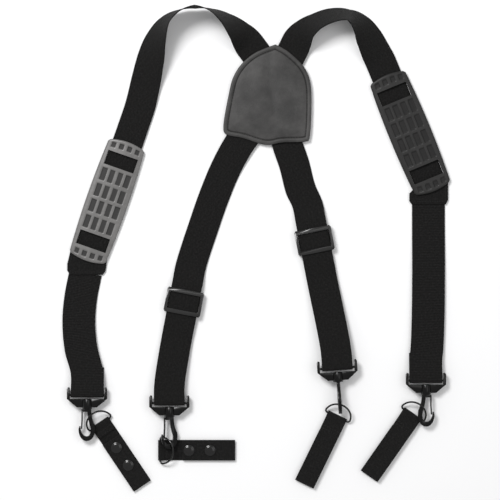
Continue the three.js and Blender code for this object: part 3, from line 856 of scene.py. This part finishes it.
for corner, (bar, angle, front_up, free) in BARS.items():
    h = UP if front_up else DOWN
    sign = 1 if front_up else -1
    ring = [(LOOP_MID * math.cos(math.radians(a)), RING_BAR_Z + sign * LOOP_MID * math.sin(math.radians(a)))
            for a in range(60, 271, 15)]
    if front_up:
        start, bend = [(15, h["tail"]), (6, h["tail"] + 0.1)], []
    else:
        start = [(20, h["tail"]), (14, h["tail"] - 0.3), (8, h["tail"] - 2)]
        bend = [(6, h["base"] - 0.9), (14, h["base"])]
    roll_r = abs(h["roll"] - h["base"])
    curl = [(ROLL_X + roll_r * math.sin(a), h["roll"] + sign * -roll_r * math.cos(a))
            for a in (0.0, 0.5, 1.0, 1.5, 2.0, 2.6)]
    tape(f"{corner}_keeper_web", keeper_frames(start + ring + bend + curl, bar, angle), KEEPER,
         KEEPER_T - 0.1, "keeper", f"{corner}_keeper", [f"{corner}_keeper_strap"])
    flap_r = abs(h["flap"] - h["roll"])
    wrap = [(ROLL_X + flap_r * math.sin(a), h["roll"] + sign * (flap_r * math.cos(a)))
            for a in (0.0, 0.25, 0.5, 0.75)]
    tape(f"{corner}_flap_web", keeper_frames([(free, h["flap"])] + wrap, bar, angle), KEEPER,
         KEEPER_T - 0.1, "keeper", f"{corner}_flap", [f"{corner}_keeper_flap"])
    for i, x in enumerate(SNAPS_X, 1):
        dome(f"{corner}_cap_dome_{i}", bar, angle, x, *h["cap"], f"{corner}_flap", [f"{corner}_snap_cap_{i}"])
        stud = frame["nodes"][f"{corner}_snap_stud_{i}"]
        stud.data.materials.clear()
        stud.data.materials.append(LOOKS["snap"])
    turn = math.radians(angle)
    lift = h["tail"] + KEEPER_T / 2 if front_up else h["base"] + KEEPER_T / 2
    rows = []
    for x in ((8, 13) if front_up else (16, 20)):
        ends = [(bar[0] + x * math.cos(turn) - w * math.sin(turn),
                 bar[1] + x * math.sin(turn) + w * math.cos(turn)) for w in (-SEWN_HALF, SEWN_HALF)]
        rows += seam(ends, lift, closed=False)
    stitches(f"{corner}_keeper_stitches", rows, f"{corner}_keeper")


# ---------------------------------------------------------------- floor, light and camera
FIELD = 0.625
HEIGHT = 2.2
SENSOR = 36.0
AIM = Vector((-0.0076, -0.0005, 0))
FLOOR_SIZE, FLOOR_LEVEL = 3.0, -0.0003
STUDIO_GLOW = 0.5
KEY_PLACE, KEY_SIZE, KEY_POWER = (-0.8, 1.0, 1.8), 0.7, 34
FILL_PLACE, FILL_SIZE, FILL_POWER = (1.1, 0.2, 1.9), 1.4, 7

mesh = bpy.data.meshes.new("floor")
corners = [(x * FLOOR_SIZE, y * FLOOR_SIZE, FLOOR_LEVEL) for x, y in ((-1, -1), (1, -1), (1, 1), (-1, 1))]
mesh.from_pydata(corners, [], [(0, 1, 2, 3)])
paper = Nodes("floor_paper", (0.93, 0.93, 0.935), 0.9, specular=0.1)
mesh.materials.append(paper.material)
floor = bpy.data.objects.new("floor", mesh)
bpy.context.scene.collection.objects.link(floor)

world = bpy.data.worlds.new("studio")
world.use_nodes = True
world.node_tree.nodes["Background"].inputs["Color"].default_value = (1, 1, 1, 1)
world.node_tree.nodes["Background"].inputs["Strength"].default_value = STUDIO_GLOW
bpy.context.scene.world = world


def softbox(name, where, size, power):
    """A square area light that points at the middle of the object."""
    light = bpy.data.lights.new(name, "AREA")
    light.energy = power
    light.size = size
    made = bpy.data.objects.new(name, light)
    bpy.context.scene.collection.objects.link(made)
    made.location = where
    made.rotation_mode = "QUATERNION"
    made.rotation_quaternion = (-Vector(where)).to_track_quat("-Z", "Y")


softbox("key", KEY_PLACE, KEY_SIZE, KEY_POWER)
softbox("fill", FILL_PLACE, FILL_SIZE, FILL_POWER)

camera = bpy.data.objects.new("camera", bpy.data.cameras.new("camera"))
camera.data.sensor_width = SENSOR
camera.data.lens = SENSOR * HEIGHT / FIELD
camera.location = AIM + Vector((0, 0, HEIGHT))
bpy.context.scene.collection.objects.link(camera)
bpy.context.scene.camera = camera
bpy.context.scene.view_settings.view_transform = "Standard"
